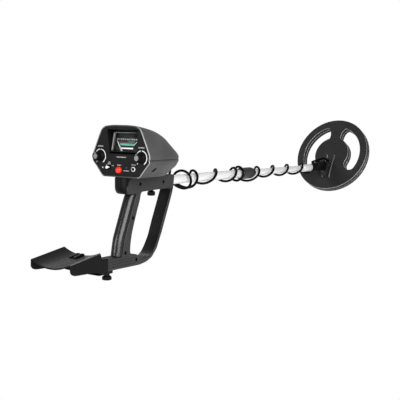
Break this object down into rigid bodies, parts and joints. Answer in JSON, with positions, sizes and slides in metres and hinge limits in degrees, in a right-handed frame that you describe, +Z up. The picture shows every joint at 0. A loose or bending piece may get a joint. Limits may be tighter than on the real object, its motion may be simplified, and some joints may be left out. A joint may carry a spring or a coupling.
{
  "type": "metal detector",
  "caption": "Hand-held metal detector: control box with meter and knobs on a looped handle, sliding stem, tilting round coil and arm cup.",
  "frame": {"origin": "middle of the hand grip, 80 mm below the axis of the stem and 166 mm behind the front of the handle region", "axes": "+Y along the stem towards the coil, +Z up out of the control box, +X to the right of the user"},
  "size_m": [0.21, 1.1582, 0.3092],
  "materials": {
    "housing_top_cover": "fine texture",
    "housing_bottom_shell": "fine texture",
    "battery_door": "fine texture",
    "face_panel": "satin",
    "meter_bezel": "gloss",
    "meter_case": "gloss",
    "meter_dial": "printed scale",
    "meter_window": "clear",
    "meter_movement": "plain",
    "meter_needle": "painted",
    "circuit_board": "solder mask",
    "battery_1": "printed can",
    "battery_2": "printed can",
    "battery_3": "printed can",
    "speaker": "paper cone",
    "housing_gland": "matt",
    "volume_potentiometer": "plain",
    "tuning_potentiometer": "plain",
    "volume_knob": "satin",
    "tuning_knob": "satin",
    "reset_button": "gloss",
    "reset_switch": "plain",
    "mode_toggle": "polished",
    "toggle_switch": "plated",
    "headphone_jack": "plated",
    "power_led": "clear lens",
    "handle_left_half": "fine texture",
    "handle_right_half": "fine texture",
    "handle_rear_cap": "satin",
    "grip_rubber": "stippled",
    "clamp_knob": "matt",
    "arm_cup": "satin",
    "arm_cup_knob": "matt",
    "arm_cup_nut": "plated",
    "upper_stem_tube": "satin anodised",
    "stem_collet": "natural nylon",
    "lock_collar": "ribbed",
    "lower_stem_tube": "satin anodised",
    "stem_end_plug": "plain",
    "stem_tip_sleeve": "satin anodised",
    "stem_tip_fork": "satin",
    "pivot_bolt": "moulded",
    "pivot_washer_right": "matt",
    "pivot_washer_left": "matt",
    "wing_nut": "moulded",
    "coil_upper_shell": "satin",
    "coil_lower_cover": "satin",
    "transmit_winding": "enamelled copper wire",
    "receive_winding": "enamelled copper wire",
    "coil_gland": "matt",
    "cable_upper": "satin jacket",
    "cable_lower": "satin jacket",
    "cable_tip": "satin jacket",
    "handle_screw_1": "black plated",
    "handle_screw_2": "black plated",
    "handle_screw_3": "black plated",
    "handle_screw_4": "black plated",
    "handle_screw_5": "black plated",
    "handle_screw_6": "black plated",
    "handle_screw_7": "black plated"
  },
  "bodies": {
    "handle": {"housing_top_cover": "housing_top_cover", "housing_bottom_shell": "housing_bottom_shell", "face_panel": "face_panel", "meter_bezel": "meter_bezel", "meter_case": "meter_case", "meter_dial": "meter_dial", "meter_window": "meter_window", "meter_movement": "meter_movement", "circuit_board": "circuit_board", "battery_1": "battery_1", "battery_2": "battery_2", "battery_3": "battery_3", "speaker": "speaker", "housing_gland": "housing_gland", "volume_potentiometer": "volume_potentiometer", "tuning_potentiometer": "tuning_potentiometer", "reset_switch": "reset_switch", "toggle_switch": "toggle_switch", "headphone_jack": "headphone_jack", "power_led": "power_led", "handle_left_half": "handle_left_half", "handle_right_half": "handle_right_half", "handle_rear_cap": "handle_rear_cap", "grip_rubber": "grip_rubber", "upper_stem_tube": "upper_stem_tube", "stem_collet": "stem_collet", "cable_upper": "cable_upper", "handle_screw_1": "handle_screw_1", "handle_screw_2": "handle_screw_2", "handle_screw_3": "handle_screw_3", "handle_screw_4": "handle_screw_4", "handle_screw_5": "handle_screw_5", "handle_screw_6": "handle_screw_6", "handle_screw_7": "handle_screw_7"},
    "battery_door": {"battery_door": "battery_door"},
    "volume_knob": {"volume_knob": "volume_knob"},
    "tuning_knob": {"tuning_knob": "tuning_knob"},
    "mode_toggle": {"mode_toggle": "mode_toggle"},
    "reset_button": {"reset_button": "reset_button"},
    "meter_needle": {"meter_needle": "meter_needle"},
    "clamp_knob": {"clamp_knob": "clamp_knob"},
    "arm_cup": {"arm_cup": "arm_cup", "arm_cup_nut": "arm_cup_nut"},
    "arm_cup_knob": {"arm_cup_knob": "arm_cup_knob"},
    "lock_collar": {"lock_collar": "lock_collar"},
    "lower_stem": {"lower_stem_tube": "lower_stem_tube", "stem_end_plug": "stem_end_plug", "stem_tip_sleeve": "stem_tip_sleeve", "stem_tip_fork": "stem_tip_fork", "pivot_bolt": "pivot_bolt", "pivot_washer_right": "pivot_washer_right", "pivot_washer_left": "pivot_washer_left", "cable_lower": "cable_lower", "cable_tip": "cable_tip"},
    "wing_nut": {"wing_nut": "wing_nut"},
    "coil": {"coil_upper_shell": "coil_upper_shell", "coil_lower_cover": "coil_lower_cover", "transmit_winding": "transmit_winding", "receive_winding": "receive_winding", "coil_gland": "coil_gland"}
  },
  "joints": [
    {"name": "volume_turn", "type": "hinge", "parent": "handle", "child": "volume_knob", "pos_m": [-0.0516, -0.018, 0.1324], "axis": [0, 1, 0], "range_deg": [-150, 150]},
    {"name": "tuning_turn", "type": "hinge", "parent": "handle", "child": "tuning_knob", "pos_m": [0.0516, -0.018, 0.1324], "axis": [0, 1, 0], "range_deg": [-150, 150]},
    {"name": "mode_switch", "type": "hinge", "parent": "handle", "child": "mode_toggle", "pos_m": [-0.0287, -0.01, 0.1116], "axis": [0, 0, 1], "range_deg": [-13, 13]},
    {"name": "reset_press", "type": "slide", "parent": "handle", "child": "reset_button", "axis": [0, 1, 0], "range_m": [0, 0.002], "stiffness_N_per_m": 100},
    {"name": "needle_swing", "type": "hinge", "parent": "handle", "child": "meter_needle", "pos_m": [-0.0062, 0.00061, 0.14464], "axis": [0, 0.9511, -0.309], "range_deg": [0, 80], "stiffness_Nm_per_rad": 0.0002},
    {"name": "battery_door_pull", "type": "slide", "parent": "handle", "child": "battery_door", "axis": [1, 0, 0], "range_m": [0, 0.03]},
    {"name": "clamp_turn", "type": "hinge", "parent": "handle", "child": "clamp_knob", "pos_m": [0, 0.0863, 0.06], "axis": [0, 0, 1], "range_deg": [-180, 180]},
    {"name": "arm_cup_slide", "type": "slide", "parent": "handle", "child": "arm_cup", "axis": [0, 1, 0], "range_m": [-0.02, 0]},
    {"name": "arm_knob_turn", "type": "hinge", "parent": "arm_cup", "child": "arm_cup_knob", "pos_m": [0, -0.047, -0.09], "axis": [0, 0, 1], "range_deg": [-180, 180]},
    {"name": "collar_twist", "type": "hinge", "parent": "handle", "child": "lock_collar", "pos_m": [0, 0.448, 0.08], "axis": [0, 1, 0], "range_deg": [0, 90]},
    {"name": "stem_slide", "type": "slide", "parent": "handle", "child": "lower_stem", "axis": [0, 1, 0], "range_m": [-0.2, 0.12], "deforming": ["cable_lower"]},
    {"name": "coil_tilt", "type": "hinge", "parent": "lower_stem", "child": "coil", "pos_m": [0, 0.838, 0.083], "axis": [1, 0, 0], "range_deg": [-64, 25], "deforming": ["cable_tip"]},
    {"name": "wing_nut_turn", "type": "hinge", "parent": "lower_stem", "child": "wing_nut", "pos_m": [-0.015, 0.838, 0.083], "axis": [1, 0, 0], "range_deg": [-180, 180]}
  ]
}
